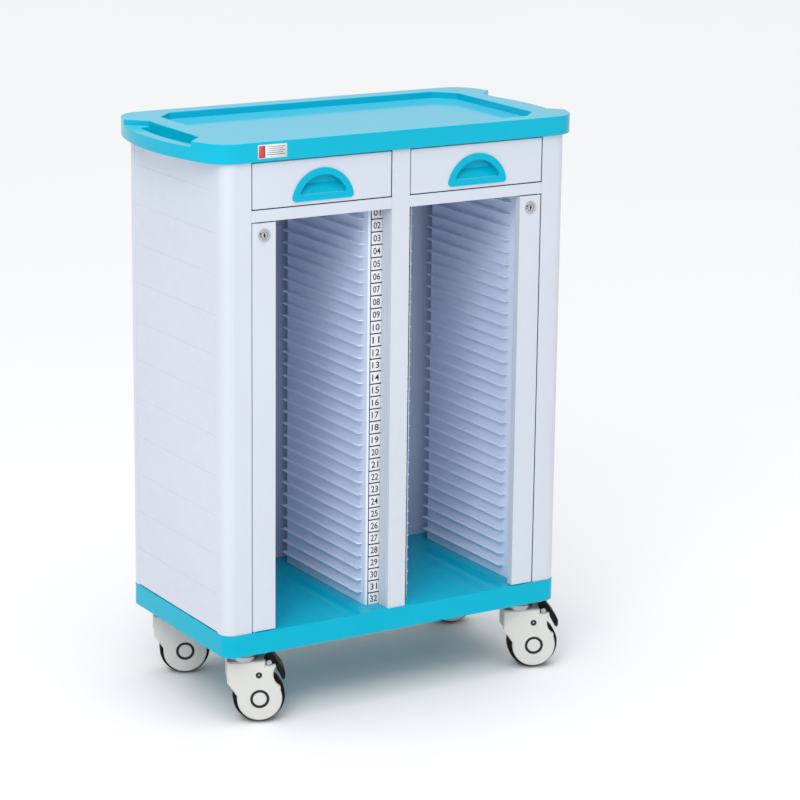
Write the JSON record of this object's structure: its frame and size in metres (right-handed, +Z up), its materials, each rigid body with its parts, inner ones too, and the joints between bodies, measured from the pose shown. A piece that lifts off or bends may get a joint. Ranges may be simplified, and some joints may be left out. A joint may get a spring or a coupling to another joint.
{
  "type": "patient chart trolley",
  "caption": "Two-bay ward trolley with slotted chart racks, hinged lock bars, two shallow drawers with half-moon pulls, a moulded handled tray and swivel casters.",
  "frame": {"origin": "on the floor under the middle of the body", "axes": "+X to the right along the front, +Y towards the back, +Z up; the drawers are at the front"},
  "size_m": [0.856, 0.4239, 1.126],
  "materials": {
    "cyan_plastic": "glossy moulded plastic",
    "body_white": "smooth satin powder coat",
    "drawer_plastic": "satin moulded plastic",
    "inner_board": "smooth satin boards",
    "panel_plastic": "smooth satin boards",
    "rack_plastic": "satin moulded plastic",
    "zinc_steel": "zinc plated",
    "caster_plastic": "semi-gloss moulded plastic",
    "tyre_rubber": "matte rubber",
    "pedal_plastic": "matte moulded plastic",
    "lock_chrome": "polished",
    "label_white": "printed film"
  },
  "bodies": {
    "carcass": {"base_tray": "cyan_plastic", "base_frame": "zinc_steel", "caster_plates": "zinc_steel", "caster_bolts": "zinc_steel", "front_left_post": "body_white", "front_right_post": "body_white", "rear_left_post": "body_white", "rear_right_post": "body_white", "centre_post": "body_white", "centre_partition": "inner_board", "left_side_panel": "panel_plastic", "right_side_panel": "panel_plastic", "back_panel": "inner_board", "rear_foot_strip": "inner_board", "bay_liners": "inner_board", "cross_rails": "body_white", "drawer_deck": "inner_board", "rack_walls": "rack_plastic", "bay_ribs": "rack_plastic", "label_strips": "label_white", "top_tray": "cyan_plastic", "lock_bar_pins": "zinc_steel", "slide_outer_members": "zinc_steel", "slide_spacers": "zinc_steel"},
    "left_drawer": {"left_drawer_front": "drawer_plastic", "left_drawer_box": "drawer_plastic", "left_drawer_pull": "cyan_plastic", "left_slide_inners": "zinc_steel"},
    "left_slide_middle": {"left_slide_mids": "zinc_steel"},
    "left_bar": {"left_lock_bar": "body_white", "left_lock_housing": "lock_chrome"},
    "left_plug": {"left_lock_plug": "lock_chrome"},
    "right_drawer": {"right_drawer_front": "drawer_plastic", "right_drawer_box": "drawer_plastic", "right_drawer_pull": "cyan_plastic", "right_slide_inners": "zinc_steel"},
    "right_slide_middle": {"right_slide_mids": "zinc_steel"},
    "right_bar": {"right_lock_bar": "body_white", "right_lock_housing": "lock_chrome"},
    "right_plug": {"right_lock_plug": "lock_chrome"},
    "fl_caster": {"fl_caster_cover": "caster_plastic", "fl_caster_steel": "zinc_steel"},
    "fl_wheel": {"fl_wheel_core": "caster_plastic", "fl_tyre": "tyre_rubber"},
    "fl_pedal": {"fl_brake_pedal": "pedal_plastic"},
    "fr_caster": {"fr_caster_cover": "caster_plastic", "fr_caster_steel": "zinc_steel"},
    "fr_wheel": {"fr_wheel_core": "caster_plastic", "fr_tyre": "tyre_rubber"},
    "fr_pedal": {"fr_brake_pedal": "pedal_plastic"},
    "rl_caster": {"rl_caster_cover": "caster_plastic", "rl_caster_steel": "zinc_steel"},
    "rl_wheel": {"rl_wheel_core": "caster_plastic", "rl_tyre": "tyre_rubber"},
    "rr_caster": {"rr_caster_cover": "caster_plastic", "rr_caster_steel": "zinc_steel"},
    "rr_wheel": {"rr_wheel_core": "caster_plastic", "rr_tyre": "tyre_rubber"}
  },
  "joints": [
    {"name": "left_drawer_slide", "type": "slide", "parent": "carcass", "child": "left_drawer", "axis": [0, -1, 0], "range_m": [0, 0.3]},
    {"name": "left_slide_middle_travel", "type": "slide", "parent": "carcass", "child": "left_slide_middle", "axis": [0, -1, 0], "range_m": [0, 0.15]},
    {"name": "left_lock_bar_hinge", "type": "hinge", "parent": "carcass", "child": "left_bar", "pos_m": [-0.312, -0.196, 0.58], "axis": [0, 0, -1], "range_deg": [0, 100]},
    {"name": "left_lock_turn", "type": "hinge", "parent": "left_bar", "child": "left_plug", "pos_m": [-0.29215, -0.2, 0.952], "axis": [0, -1, 0], "range_deg": [0, 180]},
    {"name": "right_drawer_slide", "type": "slide", "parent": "carcass", "child": "right_drawer", "axis": [0, -1, 0], "range_m": [0, 0.3]},
    {"name": "right_slide_middle_travel", "type": "slide", "parent": "carcass", "child": "right_slide_middle", "axis": [0, -1, 0], "range_m": [0, 0.15]},
    {"name": "right_lock_bar_hinge", "type": "hinge", "parent": "carcass", "child": "right_bar", "pos_m": [0.312, -0.196, 0.58], "axis": [0, 0, 1], "range_deg": [0, 100]},
    {"name": "right_lock_turn", "type": "hinge", "parent": "right_bar", "child": "right_plug", "pos_m": [0.29215, -0.2, 0.952], "axis": [0, 1, 0], "range_deg": [0, 180]},
    {"name": "fl_swivel", "type": "hinge", "parent": "carcass", "child": "fl_caster", "pos_m": [-0.314, -0.156, 0.13], "axis": [0, 0, 1], "continuous": true},
    {"name": "fl_wheel_spin", "type": "hinge", "parent": "fl_caster", "child": "fl_wheel", "pos_m": [-0.28705, -0.168, 0.05], "axis": [0.4067, 0.9135, 0], "continuous": true},
    {"name": "fl_brake", "type": "hinge", "parent": "fl_caster", "child": "fl_pedal", "pos_m": [-0.27061, -0.17532, 0.123], "axis": [0.4067, 0.9135, 0], "range_deg": [0, 9]},
    {"name": "fr_swivel", "type": "hinge", "parent": "carcass", "child": "fr_caster", "pos_m": [0.314, -0.156, 0.13], "axis": [0, 0, 1], "continuous": true},
    {"name": "fr_wheel_spin", "type": "hinge", "parent": "fr_caster", "child": "fr_wheel", "pos_m": [0.34095, -0.168, 0.05], "axis": [0.4067, 0.9135, 0], "continuous": true},
    {"name": "fr_brake", "type": "hinge", "parent": "fr_caster", "child": "fr_pedal", "pos_m": [0.35739, -0.17532, 0.123], "axis": [0.4067, 0.9135, 0], "range_deg": [0, 9]},
    {"name": "rl_swivel", "type": "hinge", "parent": "carcass", "child": "rl_caster", "pos_m": [-0.314, 0.156, 0.13], "axis": [0, 0, 1], "continuous": true},
    {"name": "rl_wheel_spin", "type": "hinge", "parent": "rl_caster", "child": "rl_wheel", "pos_m": [-0.28705, 0.144, 0.05], "axis": [0.4067, 0.9135, 0], "continuous": true},
    {"name": "rr_swivel", "type": "hinge", "parent": "carcass", "child": "rr_caster", "pos_m": [0.314, 0.156, 0.13], "axis": [0, 0, 1], "continuous": true},
    {"name": "rr_wheel_spin", "type": "hinge", "parent": "rr_caster", "child": "rr_wheel", "pos_m": [0.34095, 0.144, 0.05], "axis": [0.4067, 0.9135, 0], "continuous": true}
  ],
  "couplings": [
    {"joint": "left_slide_middle_travel", "follows": "left_drawer_slide", "ratio": 0.5},
    {"joint": "right_slide_middle_travel", "follows": "right_drawer_slide", "ratio": 0.5}
  ]
}
